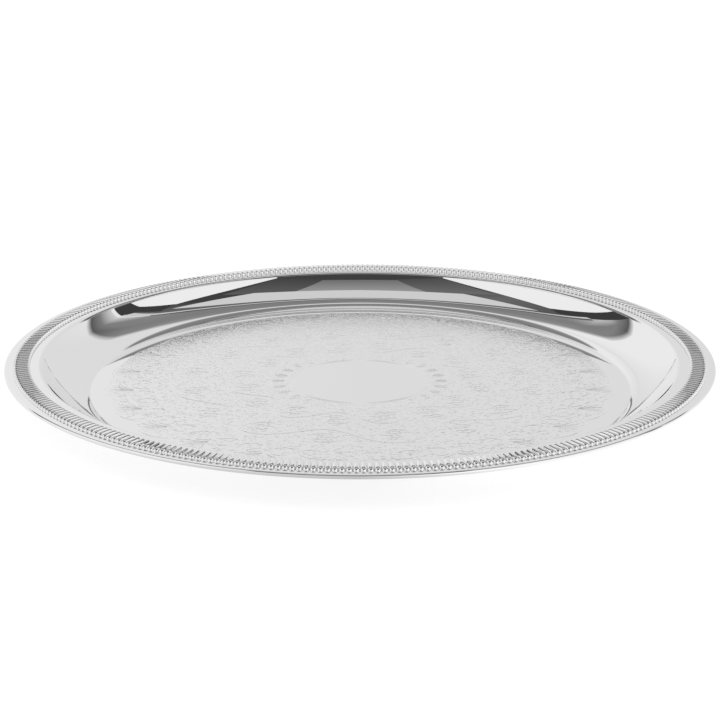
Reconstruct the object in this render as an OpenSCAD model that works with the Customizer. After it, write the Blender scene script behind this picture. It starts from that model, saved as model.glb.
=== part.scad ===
// Round silver salver with a gadrooned rim.
// The origin is the centre of the underside, which is the flat face the salver rests on. +Z is up.

/* [Overall] */
// Outside diameter over the rolled edge
salver_d = 350; // [280:1:450]
// Thickness of the sheet that the body is pressed from
sheet_t = 0.6; // [0.45:0.05:0.75]
// Depth of the well, from the floor up to the top of the rim flange
well_depth = 16.2; // [12:0.1:24]

/* [Well] */
// Slope of the wall where it is steepest, just under the flange, in degrees
wall_slope = 53; // [40:1:60]
// Slope of the short heel that lifts the wall off the floor, where it is steepest, in degrees
heel_slope = 33; // [28:1:36]
// Radius of the bend between the wall and the flange, on the upper side
shoulder_r = 3; // [2:0.25:5]
// Radial width of the flat flange, from the shoulder to the outer edge
flange_w = 16.2; // [14:0.1:24]

/* [Gadroon border] */
// Radial width of the applied border
border_w = 8.4; // [5:0.1:10]
// Height of the lobes' crest above the flange
lobe_h = 1.45; // [0.8:0.05:3]
// Depth of the valley between two lobes, measured at the crest
valley_depth = 0.75; // [0.3:0.05:1.2]
// Distance from the salver's outer edge in to the border's outer foot
border_inset = 4.1; // [2.5:0.1:6]
// Number of lobes in each length of border
lobes_per_length = 60; // [20:1:60]

/* [Rolled edge] */
// Radius of the rolled edge, measured over the sheet
roll_r = 1.0; // [0.9:0.05:2]

/* [Hidden] */

$fn = 96;
joint_gap = 0.02;      // clearance between pieces that lie against each other
length_count = 6;      // lengths of border, laid end to end round the rim
heel_r = 0.8;          // radius of the bend between the floor and the heel, on the upper side
join_slope = 19;       // slope at which the heel runs into the wall's hollow curve
heel_steps = 8;        // straight steps round each of the heel's two curves
wall_steps = 24;       // straight steps up the wall's curve
shoulder_steps = 12;   // straight steps round the shoulder
roll_steps = 32;       // straight steps round the curled edge
profile_steps = 6;     // facets across the border's section
lobe_flat = 0.22;      // half-width of a lobe's flat crest, as a part of the lobe's pitch
foot_pull = 0.35;      // how far a valley's feet stand in from the lobe's feet

rim_r = salver_d / 2;
flange_top = sheet_t + well_depth;

// The wall is a hollow curve that starts on top of the heel and steepens to its full slope at the shoulder.
// The curve is set out as if it ran all the way down to the floor.
flange_flat_r = rim_r - flange_w;
both_bends_r = well_depth / (1 - cos(wall_slope));
wall_r = both_bends_r - shoulder_r;
curve_foot_r = flange_flat_r - both_bends_r * sin(wall_slope);

// The heel is a tight bend up from the floor and then a gentle crown that eases back to the wall's slope
heel_rise = wall_r * (1 - cos(join_slope));
crown_r = (heel_rise - heel_r * (1 - cos(heel_slope))) / (cos(join_slope) - cos(heel_slope));
crown_run = crown_r * (sin(heel_slope) - sin(join_slope));
floor_flat_r = curve_foot_r + wall_r * sin(join_slope) - crown_run - heel_r * sin(heel_slope);

// Centres of the heel's two curves, the wall's curve, the shoulder and the curled edge, in (radius, height)
heel_centre = [floor_flat_r, sheet_t + heel_r];
crown_centre = heel_centre + (heel_r + crown_r) * [sin(heel_slope), -cos(heel_slope)];
wall_centre = [curve_foot_r, sheet_t + wall_r];
shoulder_centre = [flange_flat_r, flange_top - shoulder_r];
roll_centre = [rim_r - roll_r, flange_top - roll_r];
wire_r = roll_r - sheet_t;

border_out_r = rim_r - border_inset;
border_mid_r = border_out_r - border_w / 2;
length_angle = 360 / length_count;
lobe_angle = length_angle / lobes_per_length;

// Points along an arc, in (radius, height)
function arc(centre, r, from_angle, to_angle, steps) = [
    for (i = [0 : steps])
        let (turn = from_angle + (to_angle - from_angle) * i / steps)
        centre + r * [cos(turn), sin(turn)]];

// The sheet's section: out along the upper side, round the curled edge, and back underneath
function sheet_section() = concat(
    [[0, sheet_t]],
    arc(heel_centre, heel_r, -90, heel_slope - 90, heel_steps),
    arc(crown_centre, crown_r, heel_slope + 90, join_slope + 90, heel_steps),
    arc(wall_centre, wall_r, join_slope - 90, wall_slope - 90, wall_steps),
    arc(shoulder_centre, shoulder_r, wall_slope + 90, 90, shoulder_steps),
    arc(roll_centre, roll_r, 90, -180 - asin(wire_r / roll_r), roll_steps),
    arc(shoulder_centre, shoulder_r - sheet_t, 90, wall_slope + 90, shoulder_steps),
    arc(wall_centre, wall_r + sheet_t, wall_slope - 90, join_slope - 90, wall_steps),
    arc(crown_centre, crown_r - sheet_t, join_slope + 90, heel_slope + 90, heel_steps),
    arc(heel_centre, heel_r + sheet_t, heel_slope - 90, -90, heel_steps),
    [[0, 0]]);

// Pressed sheet: flat floor, sloping wall, flat flange and an edge curled under and round the wire
module tray_body() {
    color("silver")
        rotate_extrude($fn = 360)
            difference() {
                polygon(sheet_section());
                translate(roll_centre)
                    circle(r = wire_r);
            }
}

// Round wire inside the curled edge, which keeps the rim stiff
module edge_wire() {
    color("darkgray")
        rotate_extrude($fn = 360)
            translate(roll_centre)
                circle(r = wire_r - joint_gap);
}

// Height above the flange and half-width of the border's section, on a lobe or in a valley
function section_h(in_valley) = in_valley ? lobe_h - valley_depth : lobe_h;
function section_half(in_valley) = border_w / 2 - (in_valley ? foot_pull : 0);

// One ring of points round the border's section at a bearing
function section_ring(bearing, in_valley) = [
    for (k = [0 : profile_steps])
        let (turn = 180 * k / profile_steps,
             r = border_mid_r - section_half(in_valley) * cos(turn),
             h = section_h(in_valley) * sin(turn))
        [r * cos(bearing), r * sin(bearing), flange_top + joint_gap + h]];

// Bearings of a length's rings: a valley, then the two edges of each lobe's crest
function length_rings(first_bearing) = [
    for (n = [0 : lobes_per_length - 1], step = [0 : 2])
        let (part = step == 0 ? 0 : 0.5 + (step == 1 ? -lobe_flat : lobe_flat))
        section_ring(first_bearing + lobe_angle * (n + part), step == 0),
    section_ring(first_bearing + lobe_angle * (lobes_per_length - joint_gap), true)];

// One struck length of gadroon border, soldered down on the flange
module gadroon_length(index) {
    rings = length_rings(length_angle * (index - 1));
    last = len(rings) - 1;
    across_count = profile_steps + 1;
    points = [for (ring = rings) each ring];
    skins = [
        for (i = [0 : last - 1], k = [0 : across_count - 1])
            let (a = i * across_count + k,
                 b = i * across_count + (k + 1) % across_count)
            each [[a, b, b + across_count], [a, b + across_count, a + across_count]]];
    first_end = [for (k = [0 : across_count - 1]) across_count - 1 - k];
    last_end = [for (k = [0 : across_count - 1]) last * across_count + k];
    color("silver")
        polyhedron(points, concat(skins, [first_end, last_end]), convexity = 10);
}

tray_body();
edge_wire();
gadroon_length(1);  // gadroon_length_1
gadroon_length(2);  // gadroon_length_2
gadroon_length(3);  // gadroon_length_3
gadroon_length(4);  // gadroon_length_4
gadroon_length(5);  // gadroon_length_5
gadroon_length(6);  // gadroon_length_6
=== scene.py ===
"""A round silver salver with a gadroon border, on a pale floor in a soft studio.

The silver is a mirror, so the studio's panels are seen only in its reflections.
"""

import math
import random

import bpy
import numpy as np
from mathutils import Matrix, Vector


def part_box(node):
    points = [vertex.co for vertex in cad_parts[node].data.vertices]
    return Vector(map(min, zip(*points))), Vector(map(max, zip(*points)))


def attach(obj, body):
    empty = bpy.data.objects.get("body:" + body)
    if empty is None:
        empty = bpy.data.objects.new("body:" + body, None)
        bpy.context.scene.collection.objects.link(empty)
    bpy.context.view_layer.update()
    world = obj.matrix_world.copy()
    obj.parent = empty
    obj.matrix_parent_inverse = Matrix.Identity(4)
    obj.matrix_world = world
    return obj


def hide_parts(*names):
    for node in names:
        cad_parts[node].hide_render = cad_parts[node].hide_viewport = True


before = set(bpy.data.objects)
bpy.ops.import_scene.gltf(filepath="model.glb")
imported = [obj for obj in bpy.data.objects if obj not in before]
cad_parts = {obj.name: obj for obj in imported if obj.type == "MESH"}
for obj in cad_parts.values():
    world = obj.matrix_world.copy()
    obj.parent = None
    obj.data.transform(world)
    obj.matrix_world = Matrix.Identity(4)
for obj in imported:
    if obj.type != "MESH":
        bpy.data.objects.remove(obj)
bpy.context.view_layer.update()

MM = 0.001

# Heights and radii of the salver, in metres. The overall sizes come from the frame.
BODY_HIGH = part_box("tray_body")[1]
RIM_R = BODY_HIGH[0]
FLANGE_TOP = BODY_HIGH[2]
SHEET_T = 0.6 * MM
ROLL_R = 1.0 * MM
WIRE_R = ROLL_R - SHEET_T
FLANGE_W = 16.2 * MM
FLANGE_FLAT_R = RIM_R - FLANGE_W
WALL_SLOPE = math.radians(53)
SHOULDER_R = 3.0 * MM
WELL_DEPTH = FLANGE_TOP - SHEET_T
BOTH_BENDS_R = WELL_DEPTH / (1 - math.cos(WALL_SLOPE))
WALL_R = BOTH_BENDS_R - SHOULDER_R
CURVE_FOOT_R = FLANGE_FLAT_R - BOTH_BENDS_R * math.sin(WALL_SLOPE)

# The heel: a tight bend up from the floor, and a crown that eases back to the wall's slope
HEEL_SLOPE = math.radians(33)
JOIN_SLOPE = math.radians(19)
HEEL_R = 0.8 * MM
HEEL_RISE = WALL_R * (1 - math.cos(JOIN_SLOPE))
CROWN_R = (HEEL_RISE - HEEL_R * (1 - math.cos(HEEL_SLOPE))) / (math.cos(JOIN_SLOPE) - math.cos(HEEL_SLOPE))
CROWN_RUN = CROWN_R * (math.sin(HEEL_SLOPE) - math.sin(JOIN_SLOPE))
FLOOR_FLAT_R = CURVE_FOOT_R + WALL_R * math.sin(JOIN_SLOPE) - CROWN_RUN - HEEL_R * math.sin(HEEL_SLOPE)

# The gadroon border
BORDER_INSET = 4.1 * MM
BORDER_OUT_R = RIM_R - BORDER_INSET
BORDER_W = 8.4 * MM
LENGTHS = 6
LOBES_PER_LENGTH = 60

# The engraving on the well floor
BLANK_R = 32.5 * MM
RING_R = 35 * MM
VINE_R = 72 * MM
SCROLL_R = 112 * MM
ENGRAVED_R = 127 * MM
LINE_W = 0.42 * MM
MAIN_LINE_H = 0.055 * MM
GROUND_LINE_H = 0.045 * MM
LINE_STEP = 1.0 * MM
GROUND_GAP = 2.1 * MM
GROUND_DEPTH = 0.10 * MM
WEAR_DEPTH = 0.006 * MM

# The camera: how far it looks down, its distance, how far under the flange it aims, and its lens
VIEW_ELEVATION = math.radians(16.95)
VIEW_DISTANCE = 0.8944
AIM_DROP = 5.2 * MM
LENS_MM = 89.4


def mesh_object(name, points, faces, smooth=True):
    mesh = bpy.data.meshes.new(name)
    mesh.from_pydata([tuple(p) for p in points], [], faces)
    mesh.polygons.foreach_set("use_smooth", [smooth] * len(mesh.polygons))
    mesh.update()
    made = bpy.data.objects.new(name, mesh)
    bpy.context.scene.collection.objects.link(made)
    return made


# ---------------------------------------------------------------- camera


def add_camera():
    data = bpy.data.cameras.new("camera")
    data.lens = LENS_MM
    data.sensor_width = 36
    data.clip_start, data.clip_end = 0.01, 200
    camera = bpy.data.objects.new("camera", data)
    bpy.context.scene.collection.objects.link(camera)
    across, up = math.cos(VIEW_ELEVATION), math.sin(VIEW_ELEVATION)
    camera.location = (0, -VIEW_DISTANCE * across, FLANGE_TOP + VIEW_DISTANCE * up)
    drop = FLANGE_TOP - AIM_DROP - camera.location.z
    camera.rotation_euler = (math.pi / 2 + math.atan2(drop, -camera.location.y), 0, 0)
    bpy.context.scene.camera = camera


add_camera()

# ---------------------------------------------------------------- node helpers


def new_material(name):
    material = bpy.data.materials.new(name)
    material.use_nodes = True
    material.node_tree.nodes.clear()
    return material, material.node_tree


def node(tree, kind, inputs=(), **settings):
    made = tree.nodes.new(kind)
    for key, value in settings.items():
        setattr(made, key, value)
    for key, value in dict(inputs).items():
        if isinstance(value, bpy.types.NodeSocket):
            tree.links.new(value, made.inputs[key])
        else:
            made.inputs[key].default_value = value
    return made


# ---------------------------------------------------------------- studio

CEILING = 6.0
SILVER_REFLECTS = 0.93


def glow(level):
    """Linear light that a panel needs for its reflection in the silver to show at that display level."""
    level = level / 255
    linear = level / 12.92 if level <= 0.04045 else ((level + 0.055) / 1.055) ** 2.4
    return linear / SILVER_REFLECTS


def glow_material():
    material, tree = new_material("panel_glow")
    colour = node(tree, "ShaderNodeAttribute", attribute_name="glow")
    light = node(tree, "ShaderNodeEmission", {"Color": colour.outputs["Color"]})
    output = node(tree, "ShaderNodeOutputMaterial")
    tree.links.new(light.outputs[0], output.inputs["Surface"])
    material.cycles.emission_sampling = "NONE"
    return material


GLOW = glow_material()


def panel_object(name, points, faces, levels):
    """A studio panel that only reflections see, with a display level at each point."""
    panel = mesh_object(name, points, faces, smooth=False)
    paint = panel.data.color_attributes.new("glow", "FLOAT_COLOR", "POINT")
    rows = [(glow(v), glow(v), glow(v), 1.0) for v in levels]
    paint.data.foreach_set("color", np.array(rows, np.float32).ravel())
    panel.data.materials.append(GLOW)
    panel.visible_camera = False
    panel.visible_diffuse = False
    panel.visible_shadow = False
    return panel


def overhead(name, corners, levels, layer=0):
    """A flat panel over the salver. Corners are (right, back) for each metre of height."""
    height = CEILING - 0.02 * layer
    points = [(u * height, v * height, height) for u, v in corners]
    if not isinstance(levels, (list, tuple)):
        levels = [levels] * len(corners)
    return panel_object(name, points, [tuple(range(len(corners)))], levels)


def between(stops, value):
    """Straight-line reading of a list of (position, level) stops."""
    for (low, a), (high, b) in zip(stops, stops[1:]):
        if value <= high:
            return a + (b - a) * max(0.0, value - low) / (high - low)
    return stops[-1][1]


# Tones of the studio's cloth and panels, as display levels. They are set so that the silver's
# reflections agree with the reference. The camera's side is the greyest.
BACK_CLOTH = 218
LEFT_CLOTH = 233
RIGHT_CLOTH = 250
FRONT_CLOTH = 192
SOFTBOX_TONE = 236
TOP_LIGHT_TONE = 204
LINE_LIGHT_TONE = 200
LINE_SHADE_TONE = 78
CEILING_TONE = 62
CEILING_MIDDLE_TONE = 110
BAR_TONE = 58

# Bearing round the salver in degrees, 0 behind it and 90 to its right, and the cloth that hangs there
CLOTH = [
    (-180, FRONT_CLOTH), (-115, LEFT_CLOTH), (-15, LEFT_CLOTH), (0, BACK_CLOTH),
    (25, BACK_CLOTH), (110, RIGHT_CLOTH), (150, RIGHT_CLOTH), (180, FRONT_CLOTH),
]


def cloth_rings(name, rings, around=120):
    """Cloth laid out as rings round the salver, each (radius, height)."""
    points, levels, faces = [], [], []
    for radius, height in rings:
        for i in range(around):
            bearing = -180 + 360 * i / around
            turn = math.radians(bearing)
            points.append((radius * math.sin(turn), radius * math.cos(turn), height))
            levels.append(between(CLOTH, bearing))
    for j in range(len(rings) - 1):
        for i in range(around):
            a = j * around + i
            b = j * around + (i + 1) % around
            faces.append((a, b, b + around, a + around))
    panel_object(name, points, faces, levels)


def add_tent():
    radius = 25
    elevations = [math.radians(e) for e in (-1, 15, 30, 45, 60, 75, 89)]
    cloth_rings("tent", [(radius * math.cos(e), radius * math.sin(e)) for e in elevations])


def add_table_glow():
    """The table top as the silver sees it: the same cloth, brought in under the salver."""
    cloth_rings("table_glow", [(r, -0.0005) for r in (0.001, 0.3, 1.0, 25)])


# The grey cloth behind the ceiling. Each row is a distance to the side, the near and the far edge's
# distance back (all for each metre of height) and the tone at the two edges. The sides match.
COVE_ROWS = [
    (0.00, 0.44, 0.70, 126, 138),
    (0.30, 0.50, 0.98, 126, 138),
    (0.50, 0.60, 1.22, 132, 130),
    (1.00, 0.86, 1.38, 205, 86),
    (2.20, 0.92, 1.38, 195, 86),
]
COVE_EDGE = 0.16
COVE_MIDDLE_TONE = 124
COVE_EDGE_TONE = 219


def add_cove():
    """The grey cloth, with a soft edge where it meets the white."""
    rows = [(-row[0],) + row[1:] for row in reversed(COVE_ROWS)] + COVE_ROWS[1:]
    points, levels, faces = [], [], []
    for side, near, far, near_tone, far_tone in rows:
        stops = [
            (near, near_tone),
            ((near + far) / 2, COVE_MIDDLE_TONE),
            (far, far_tone),
            (far + COVE_EDGE, COVE_EDGE_TONE),
        ]
        for back, level in stops:
            points.append((side * CEILING, back * CEILING, CEILING))
            levels.append(level)
    for i in range(len(rows) - 1):
        for j in range(3):
            a = i * 4 + j
            faces.append((a, a + 1, a + 5, a + 4))
    panel_object("cove", points, faces, levels)


def add_ceiling():
    """The dark ceiling over the salver and the lights in it. Layers run from the top one down."""
    dark, middle = CEILING_TONE, CEILING_MIDDLE_TONE
    overhead(
        "ceiling",
        [
            (-2.2, 1.72), (-1.45, 1.16), (-0.75, 0.79), (0, 0.47),
            (0.9, 0.74), (2.2, 0.90), (2.2, -0.7), (-2.2, -0.7),
        ],
        [dark, dark, dark, middle, dark, dark, dark, dark],
        layer=1,
    )
    add_ceiling_lining()
    add_softboxes()
    add_bars()
    add_lights()


def add_ceiling_lining():
    """Paler cloth on the middle of the ceiling, which darkens towards the camera."""
    lining = [
        ("ceiling_middle", [(-0.20, 0.10), (0.20, 0.10), (0.17, -0.32), (-0.17, -0.32)], 150, 108),
        ("ceiling_left", [(-0.50, 0.12), (-0.20, 0.10), (-0.17, -0.34), (-0.44, -0.42)], 106, 76),
        ("ceiling_right", [(0.20, 0.10), (0.50, 0.12), (0.44, -0.42), (0.17, -0.34)], 90, 66),
    ]
    for name, corners, back_tone, front_tone in lining:
        overhead(name, corners, [back_tone, back_tone, front_tone, front_tone], layer=2)


def add_softboxes():
    overhead(
        "softbox_left",
        [
            (-0.60, 0.47), (-0.52, 0), (-0.45, -0.42), (-0.75, -0.9),
            (-2.4, -0.9), (-2.4, 1.5), (-1.42, 0.93), (-1.0, 0.70),
        ],
        SOFTBOX_TONE,
        layer=3,
    )
    overhead(
        "softbox_right",
        [(0.65, 0.36), (1.0, 0.52), (2.4, 0.60), (2.4, -0.9), (0.75, -0.9), (0.45, -0.42), (0.55, 0)],
        SOFTBOX_TONE,
        layer=3,
    )


def add_bars():
    """The dark frames along the softboxes' back edges."""
    overhead(
        "bar_left",
        [
            (-0.60, 0.47), (-0.56, 0.60), (-0.78, 0.80), (-1.1, 1.02),
            (-2.4, 2.0), (-2.4, 1.5), (-1.42, 0.93), (-1.0, 0.70),
        ],
        BAR_TONE,
        layer=4,
    )
    overhead(
        "bar_right",
        [(0.66, 0.36), (0.62, 0.55), (0.86, 0.62), (0.98, 0.80), (2.4, 0.86), (2.4, 0.60), (1.0, 0.53)],
        BAR_TONE,
        layer=4,
    )


def add_lights():
    """The light straight overhead, and the thin lit edges where the ceiling meets the cloth."""
    overhead(
        "top_light",
        [
            (-0.46, 0.55), (-0.2, 0.44), (0, 0.40), (0.2, 0.41),
            (0.58, 0.48), (0.35, 0.09), (0, 0.065), (-0.33, 0.12),
        ],
        TOP_LIGHT_TONE,
        layer=5,
    )
    overhead(
        "line_light_left",
        [(-0.78, 0.80), (-0.4, 0.615), (0, 0.452), (0, 0.425), (-0.4, 0.585), (-0.76, 0.74)],
        LINE_LIGHT_TONE,
        layer=5,
    )
    overhead(
        "line_light_right",
        [(0.98, 0.82), (0.4, 0.555), (0, 0.452), (0, 0.425), (0.4, 0.525), (0.6, 0.60), (0.88, 0.66)],
        LINE_LIGHT_TONE,
        layer=5,
    )
    overhead(
        "line_shade",
        [
            (-0.76, 0.84), (-0.4, 0.65), (0, 0.475), (0.62, 0.67),
            (0.62, 0.65), (0, 0.46), (-0.4, 0.625), (-0.76, 0.80),
        ],
        LINE_SHADE_TONE,
        layer=6,
    )


def add_world():
    world = bpy.data.worlds.new("soft_light")
    world.use_nodes = True
    tree = world.node_tree
    tree.nodes.clear()
    light = node(tree, "ShaderNodeBackground", {"Color": (1, 1, 1, 1), "Strength": 1.0})
    output = node(tree, "ShaderNodeOutputWorld")
    tree.links.new(light.outputs[0], output.inputs["Surface"])
    bpy.context.scene.world = world


def add_floor():
    size = 12.0
    points = [(-size, -size, 0), (size, -size, 0), (size, size, 0), (-size, size, 0)]
    floor = mesh_object("pale_floor", points, [(0, 1, 2, 3)], smooth=False)
    material, tree = new_material("pale_floor")
    surface = node(tree, "ShaderNodeBsdfDiffuse", {"Color": (0.4, 0.4, 0.4, 1)})
    light = node(tree, "ShaderNodeEmission", {"Color": (1, 1, 1, 1), "Strength": 0.75})
    total = node(tree, "ShaderNodeAddShader")
    output = node(tree, "ShaderNodeOutputMaterial")
    tree.links.new(surface.outputs[0], total.inputs[0])
    tree.links.new(light.outputs[0], total.inputs[1])
    tree.links.new(total.outputs[0], output.inputs["Surface"])
    material.cycles.emission_sampling = "NONE"
    floor.data.materials.append(material)
    floor.visible_glossy = False


def set_colour_management():
    view = bpy.context.scene.view_settings
    view.view_transform = "Standard"
    view.look = "None"
    view.exposure = 0
    view.gamma = 1


set_colour_management()
add_world()
add_floor()
add_tent()
add_table_glow()
add_cove()
add_ceiling()

# ---------------------------------------------------------------- silver


def engraved_ground(tree, where):
    """Fine tooling between the engraved lines: a bump on the well floor, outside the blank middle."""
    radius = node(tree, "ShaderNodeVectorMath", {0: where}, operation="LENGTH")
    from_blank = node(
        tree,
        "ShaderNodeMapRange",
        {"Value": radius.outputs["Value"], "From Min": BLANK_R, "From Max": BLANK_R + 2 * MM},
    )
    to_edge = node(
        tree,
        "ShaderNodeMapRange",
        {"Value": radius.outputs["Value"], "From Min": ENGRAVED_R, "From Max": ENGRAVED_R - 2 * MM},
    )
    height = node(tree, "ShaderNodeSeparateXYZ", {0: where})
    upper = node(tree, "ShaderNodeMath", {0: height.outputs["Z"], 1: SHEET_T / 2}, operation="GREATER_THAN")
    ring = node(
        tree,
        "ShaderNodeMath",
        {0: from_blank.outputs[0], 1: to_edge.outputs[0]},
        operation="MULTIPLY",
    )
    mask = node(tree, "ShaderNodeMath", {0: ring.outputs[0], 1: upper.outputs[0]}, operation="MULTIPLY")
    tooling = node(
        tree,
        "ShaderNodeTexNoise",
        {"Vector": where, "Scale": 620.0, "Detail": 2.0, "Distortion": 1.2},
    )
    return node(
        tree,
        "ShaderNodeBump",
        {"Strength": mask.outputs[0], "Distance": GROUND_DEPTH, "Height": tooling.outputs["Fac"]},
    )


def worn_surface(tree, where):
    """Very shallow waviness left by polishing."""
    waves = node(tree, "ShaderNodeTexNoise", {"Vector": where, "Scale": 90.0, "Detail": 5.0})
    return node(
        tree,
        "ShaderNodeBump",
        {"Strength": 1.0, "Distance": WEAR_DEPTH, "Height": waves.outputs["Fac"]},
    )


def silver_material(name, colour, roughness, surface_bump):
    """Metal whose roughness drifts a little over the surface, with the bump of its finish."""
    material, tree = new_material(name)
    where = node(tree, "ShaderNodeTexCoord").outputs["Object"]
    smear = node(tree, "ShaderNodeTexNoise", {"Vector": where, "Scale": 35.0, "Detail": 4.0})
    rough = node(
        tree,
        "ShaderNodeMapRange",
        {"Value": smear.outputs["Fac"], "From Min": 0.3, "From Max": 0.7,
         "To Min": roughness * 0.7, "To Max": roughness * 1.3},
    )
    bump = surface_bump(tree, where)
    surface = node(
        tree,
        "ShaderNodeBsdfPrincipled",
        {"Base Color": (colour, colour, colour, 1), "Metallic": 1.0,
         "Roughness": rough.outputs["Result"], "Normal": bump.outputs["Normal"]},
    )
    output = node(tree, "ShaderNodeOutputMaterial")
    tree.links.new(surface.outputs[0], output.inputs["Surface"])
    return material


POLISHED = silver_material("polished_silver", SILVER_REFLECTS, 0.02, engraved_ground)
ENGRAVED = silver_material("engraved_silver", SILVER_REFLECTS, 0.05, worn_surface)
BORDER = silver_material("border_silver", 0.92, 0.05, worn_surface)
STEEL = silver_material("drawn_steel", 0.55, 0.3, worn_surface)

# ---------------------------------------------------------------- the pressed body


def body_section():
    """The sheet's closed outline as (radius, height, normal out, normal up)."""
    quarter = math.pi / 2
    heel_c = (FLOOR_FLAT_R, SHEET_T + HEEL_R)
    crown_c = (
        heel_c[0] + (HEEL_R + CROWN_R) * math.sin(HEEL_SLOPE),
        heel_c[1] - (HEEL_R + CROWN_R) * math.cos(HEEL_SLOPE),
    )
    wall_c = (CURVE_FOOT_R, SHEET_T + WALL_R)
    shoulder_c = (FLANGE_FLAT_R, FLANGE_TOP - SHOULDER_R)
    roll_c = (RIM_R - ROLL_R, FLANGE_TOP - ROLL_R)
    section = [(r * FLOOR_FLAT_R, SHEET_T, 0, 1) for r in (0.0, 0.25, 0.5, 0.75, 0.9, 0.98, 0.998)]

    def add_arc(centre, radius, first, last, steps, side):
        for i in range(steps + 1):
            turn = first + (last - first) * i / steps
            out, up = math.cos(turn), math.sin(turn)
            section.append((centre[0] + radius * out, centre[1] + radius * up, side * out, side * up))

    add_arc(heel_c, HEEL_R, -quarter, HEEL_SLOPE - quarter, 8, -1)
    add_arc(crown_c, CROWN_R, HEEL_SLOPE + quarter, JOIN_SLOPE + quarter, 8, 1)
    add_arc(wall_c, WALL_R, JOIN_SLOPE - quarter, WALL_SLOPE - quarter, 26, -1)
    add_arc(shoulder_c, SHOULDER_R, WALL_SLOPE + quarter, quarter, 16, 1)
    add_arc(roll_c, ROLL_R, quarter, -math.pi - math.asin(WIRE_R / ROLL_R), 28, 1)
    add_arc(shoulder_c, SHOULDER_R - SHEET_T, quarter, WALL_SLOPE + quarter, 8, -1)
    add_arc(wall_c, WALL_R + SHEET_T, WALL_SLOPE - quarter, JOIN_SLOPE - quarter, 14, 1)
    add_arc(crown_c, CROWN_R - SHEET_T, JOIN_SLOPE + quarter, HEEL_SLOPE + quarter, 5, -1)
    add_arc(heel_c, HEEL_R + SHEET_T, HEEL_SLOPE - quarter, -quarter, 5, 1)
    section.append((0.5 * FLOOR_FLAT_R, 0.0, 0, -1))
    section.append((0.0, 0.0, 0, -1))
    return section


def lathe(name, section, around):
    """Turns a section about Z, with the section's own normals, so that the mirror finish stays true."""
    points, normals, faces, rings = [], [], [], []
    for r, z, out, up in section:
        if r < 1e-9:
            rings.append([len(points)])
            points.append((0, 0, z))
            normals.append((0, 0, up))
            continue
        rings.append(list(range(len(points), len(points) + around)))
        for i in range(around):
            turn = 2 * math.pi * i / around
            c, s = math.cos(turn), math.sin(turn)
            points.append((r * c, r * s, z))
            normals.append((out * c, out * s, up))
    for low, high in zip(rings, rings[1:]):
        for i in range(around):
            j = (i + 1) % around
            if len(low) == 1:
                faces.append((low[0], high[i], high[j]))
            elif len(high) == 1:
                faces.append((low[i], high[0], low[j]))
            else:
                faces.append((low[i], high[i], high[j], low[j]))
    made = mesh_object(name, points, faces)
    made.data.normals_split_custom_set_from_vertices(normals)
    return made


body = lathe("pressed_body", body_section(), 720)
body.data.materials.append(POLISHED)
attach(body, "root")
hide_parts("tray_body")

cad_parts["edge_wire"].data.materials.clear()
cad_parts["edge_wire"].data.materials.append(STEEL)

# ---------------------------------------------------------------- gadroon border

LOBE_STEPS = 14
ROUND_STEPS = 12
CREST_H = 1.85 * MM
CREST_FALL = 0.2 * MM
PLAN_END_R = 1.45 * MM
OUTER_SLOPE_RUN = 3.0 * MM
INNER_SLOPE_RUN = 1.6 * MM
STRIP_H = 0.22 * MM
SEAT_GAP = 0.01 * MM
BORDER_MID_R = BORDER_OUT_R - BORDER_W / 2
LOBE_PITCH = 2 * math.pi / (LENGTHS * LOBES_PER_LENGTH)


def end_fullness(along, run):
    """How full a lobe is (0 to 1) at a place along it, with ends that round off over a run."""
    from_tip = (1 - abs(along)) * BORDER_W / 2
    if from_tip >= run:
        return 1.0
    return math.sqrt(max(0.0, 1 - (1 - from_tip / run) ** 2))


def crest_height(along):
    """Height of a lobe's crest, which rounds down slowly at the outer end and faster at the inner."""
    run = OUTER_SLOPE_RUN if along > 0 else INNER_SLOPE_RUN
    return (CREST_H - CREST_FALL * (along + 1) / 2) * end_fullness(along, run)


def add_lobe(points, faces, bearing):
    """One lobe: a long rounded drop that lies across the border, fullest near its inner end."""
    base = FLANGE_TOP + SEAT_GAP
    first = len(points)
    across = ROUND_STEPS + 1
    for i in range(LOBE_STEPS + 1):
        along = -math.cos(math.pi * (0.02 + 0.96 * i / LOBE_STEPS))
        r = BORDER_MID_R + along * BORDER_W / 2
        half = 0.495 * LOBE_PITCH * r * end_fullness(along, PLAN_END_R)
        high = crest_height(along)
        for k in range(across):
            sweep = math.pi * k / ROUND_STEPS
            turn = bearing + half * math.cos(sweep) / r
            points.append((r * math.cos(turn), r * math.sin(turn), base + high * math.sin(sweep)))
    for i in range(LOBE_STEPS):
        for k in range(ROUND_STEPS):
            a = first + i * across + k
            faces.append((a, a + across, a + across + 1, a + 1))
        a = first + i * across
        faces.append((a, a + ROUND_STEPS, a + ROUND_STEPS + across, a + across))
    last = first + LOBE_STEPS * across
    faces.append(tuple(range(first, first + across)))
    faces.append(tuple(reversed(range(last, last + across))))


def add_strip(points, faces, start, end):
    """The thin strip under a length's lobes, which the valleys run down to."""
    steps = 2 * LOBES_PER_LENGTH
    inset = 0.5 * MM
    low, high = FLANGE_TOP + SEAT_GAP, FLANGE_TOP + STRIP_H
    inner, outer = BORDER_MID_R - BORDER_W / 2 + inset, BORDER_MID_R + BORDER_W / 2 - inset
    corners = [(inner, low), (inner, high), (outer, high), (outer, low)]
    first = len(points)
    for i in range(steps + 1):
        turn = start + (end - start) * i / steps
        for r, z in corners:
            points.append((r * math.cos(turn), r * math.sin(turn), z))
    for i in range(steps):
        for k in range(4):
            a, b = first + 4 * i + k, first + 4 * i + (k + 1) % 4
            faces.append((a, b, b + 4, a + 4))
    last = first + 4 * steps
    faces.append((first + 3, first + 2, first + 1, first))
    faces.append((last, last + 1, last + 2, last + 3))


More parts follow.
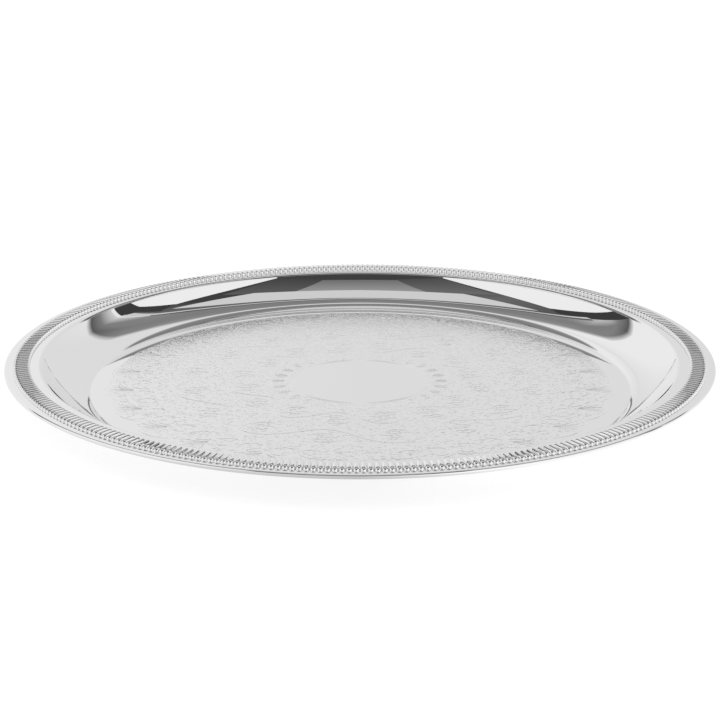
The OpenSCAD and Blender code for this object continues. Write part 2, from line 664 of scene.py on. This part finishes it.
def gadroon_length(index):
    """One length of border: a thin strip and the lobes that stand on it."""
    points, faces = [], []
    start = 2 * math.pi * (index - 1) / LENGTHS
    add_strip(points, faces, start, start + LOBES_PER_LENGTH * LOBE_PITCH)
    for n in range(LOBES_PER_LENGTH):
        add_lobe(points, faces, start + LOBE_PITCH * (n + 0.5))
    made = mesh_object(f"gadroon_strip_{index}", points, faces)
    made.data.materials.append(BORDER)
    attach(made, "root")
    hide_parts(f"gadroon_length_{index}")


for number in range(1, LENGTHS + 1):
    gadroon_length(number)

# ---------------------------------------------------------------- engraving

def polar(r, bearing):
    return (r * math.cos(bearing), r * math.sin(bearing))


def spiral(centre, radius, heading, turns, shrink=0.8):
    """A scroll that winds inwards. Negative turns wind clockwise."""
    steps = max(4, int(abs(turns) * 2 * math.pi * radius * (1 - shrink / 2) / LINE_STEP))
    line = []
    for i in range(steps + 1):
        part = i / steps
        r = radius * (1 - shrink * part)
        turn = heading + 2 * math.pi * turns * part
        line.append((centre[0] + r * math.cos(turn), centre[1] + r * math.sin(turn)))
    return line


def comma(place, heading, length, bend):
    """A short curved stroke."""
    steps = max(3, int(length / LINE_STEP))
    x, y = place
    line = [(x, y)]
    for _ in range(steps):
        heading += bend / steps
        x += length / steps * math.cos(heading)
        y += length / steps * math.sin(heading)
        line.append((x, y))
    return line


def medallion_lines():
    """Broken double arcs round the blank disc, and the leaves that stand out from them."""
    lines = []
    for quarter in range(4):
        for r in (RING_R - 0.7 * MM, RING_R + 0.6 * MM):
            start, end = math.pi / 2 * quarter + 0.10, math.pi / 2 * (quarter + 1) - 0.10
            steps = int((end - start) * r / LINE_STEP)
            lines.append([polar(r, start + (end - start) * i / steps) for i in range(steps + 1)])
    for n in range(28):
        bearing = 2 * math.pi * n / 28
        for lean in (-1.0, -0.45, 0.45, 1.0):
            lines.append(comma(polar(RING_R + 2.5 * MM, bearing), bearing + 0.9 * lean, 7 * MM, -1.3 * lean))
    return lines


def vine_lines():
    """Winding stems between the medallion and the scrolls, with a volute in every bend."""
    lines = []
    sectors = 16
    for band, reach in ((VINE_R - 14 * MM, 8 * MM), (VINE_R + 12 * MM, 9 * MM)):
        steps = int(2 * math.pi * band / LINE_STEP)
        wave = [band + reach * math.sin(sectors / 2 * 2 * math.pi * i / steps) for i in range(steps + 1)]
        lines.append([polar(r, 2 * math.pi * i / steps) for i, r in enumerate(wave)])
        for n in range(sectors):
            bearing = 2 * math.pi * (n + 0.5) / sectors
            side = 1 if n % 2 else -1
            eye = polar(band + side * 1.5 * MM, bearing)
            lines.append(spiral(eye, 6.2 * MM, bearing, 1.9 * side))
            lines.append(spiral(eye, 8.2 * MM, bearing + 1.5, -0.45 * side, 0.3))
            for leaf in range(5):
                lines.append(comma(eye, bearing + 1.25 * leaf, 7.5 * MM, 1.1 * side))
    return lines


def scroll_lines():
    """C-scrolls and fans that end the engraving in a scalloped edge."""
    lines = []
    count = 24
    for n in range(count):
        bearing = 2 * math.pi * n / count
        half = math.pi / count
        lines.append(spiral(polar(SCROLL_R - 2 * MM, bearing - half * 0.5), 8 * MM, bearing + 1.2, 1.2))
        lines.append(spiral(polar(SCROLL_R - 2 * MM, bearing + half * 0.5), 8 * MM, bearing - 1.2, -1.2))
        for rib in range(-4, 5):
            foot = polar(SCROLL_R + 1 * MM, bearing + half)
            lines.append(comma(foot, bearing + half + 0.24 * rib, 13 * MM, 0.12 * rib))
        edge = [-1 + 2 * i / 24 for i in range(25)]
        lines.append([polar(ENGRAVED_R - 5 * MM * e * e, bearing + half + half * e) for e in edge])
    return lines


def fill_lines(seed, inner, outer):
    """Short commas that fill the ground between the scrolls."""
    chance = random.Random(seed)
    lines = []
    gap = GROUND_GAP
    r = inner
    while r < outer:
        count = int(2 * math.pi * r / gap)
        for n in range(count):
            bearing = 2 * math.pi * (n + chance.random()) / count
            place = polar(r + gap * (chance.random() - 0.5), bearing)
            heading = chance.uniform(0, 2 * math.pi)
            length = chance.uniform(2.2, 4.2) * MM
            bend = chance.choice((-2.2, 2.2))
            lines.append(comma(place, heading, length, bend))
        r += gap
    return lines


def engrave(name, lines, line_h):
    """Each engraved line as a low closed ridge on the floor, tapered at both ends."""
    points, faces = [], []
    foot = SHEET_T - 0.01 * MM
    for line in lines:
        first = len(points)
        count = len(line)
        for i, (x, y) in enumerate(line):
            ahead, behind = line[min(i + 1, count - 1)], line[max(i - 1, 0)]
            dx, dy = ahead[0] - behind[0], ahead[1] - behind[1]
            size = math.hypot(dx, dy)
            taper = 0.15 + 0.85 * math.sqrt(math.sin(math.pi * min(1, max(0, i / (count - 1)))))
            off = LINE_W / 2 * taper / size
            points.append((x - dy * off, y + dx * off, foot))
            points.append((x, y, SHEET_T + line_h * taper))
            points.append((x + dy * off, y - dx * off, foot))
        for i in range(count - 1):
            a = first + 3 * i
            faces.append((a, a + 1, a + 4, a + 3))
            faces.append((a + 1, a + 2, a + 5, a + 4))
            faces.append((a + 2, a, a + 3, a + 5))
        last = first + 3 * (count - 1)
        faces.append((first, first + 2, first + 1))
        faces.append((last, last + 1, last + 2))
    made = mesh_object(name, points, faces, smooth=False)
    made.data.materials.append(ENGRAVED)
    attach(made, "root")


engrave("engraving_medallion_and_vines", medallion_lines() + vine_lines(), MAIN_LINE_H)
engrave("engraving_scrolls", scroll_lines(), MAIN_LINE_H)
engrave("engraving_inner_ground", fill_lines(3, RING_R + 3 * MM, VINE_R + 20 * MM), GROUND_LINE_H)
engrave("engraving_outer_ground", fill_lines(5, VINE_R + 22 * MM, ENGRAVED_R - 4 * MM), GROUND_LINE_H)
